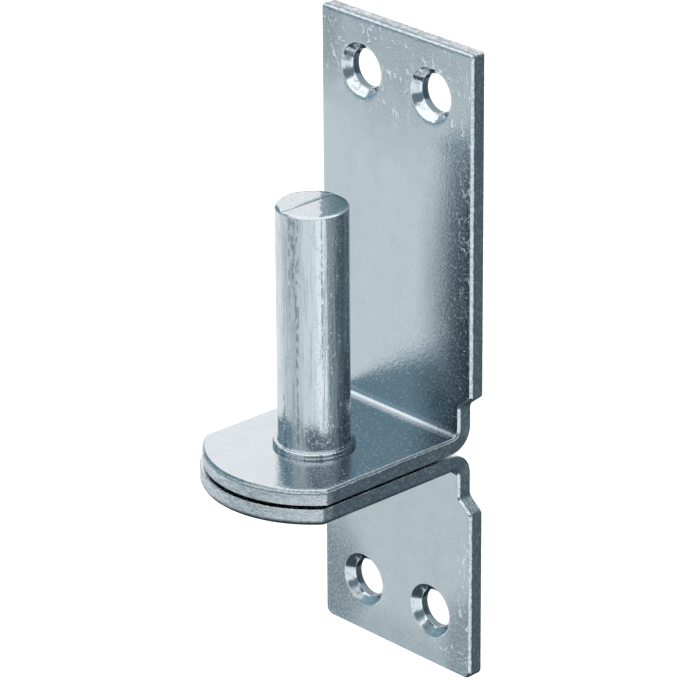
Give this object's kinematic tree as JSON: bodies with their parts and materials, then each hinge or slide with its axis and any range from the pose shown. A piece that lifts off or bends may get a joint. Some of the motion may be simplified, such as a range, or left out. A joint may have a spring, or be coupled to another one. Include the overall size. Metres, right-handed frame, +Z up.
{
  "type": "gate hinge pin",
  "caption": "Round steel pin riveted into bent wall plates with countersunk screw holes, on which the eye of a gate band turns.",
  "frame": {"origin": "on the axis of the pin, at the top of its collar, where the eye of the gate band rests", "axes": "+Z up the pin, +Y at the wall or post that the plates screw to, +X to the right as seen from the front"},
  "size_m": [0.038, 0.0433, 0.12],
  "materials": {
    "zinc_plated_sheet": "bright zinc plating with a cool tint, faint mill marks on the faces and mottled sheared edges",
    "zinc_plated_bar": "bright zinc plating with a cool tint, drawn marks along the bar and a cropped end"
  },
  "bodies": {
    "root": {"upper_angle": "zinc_plated_sheet", "lower_angle": "zinc_plated_sheet", "hinge_pin": "zinc_plated_bar"}
  },
  "joints": []
}
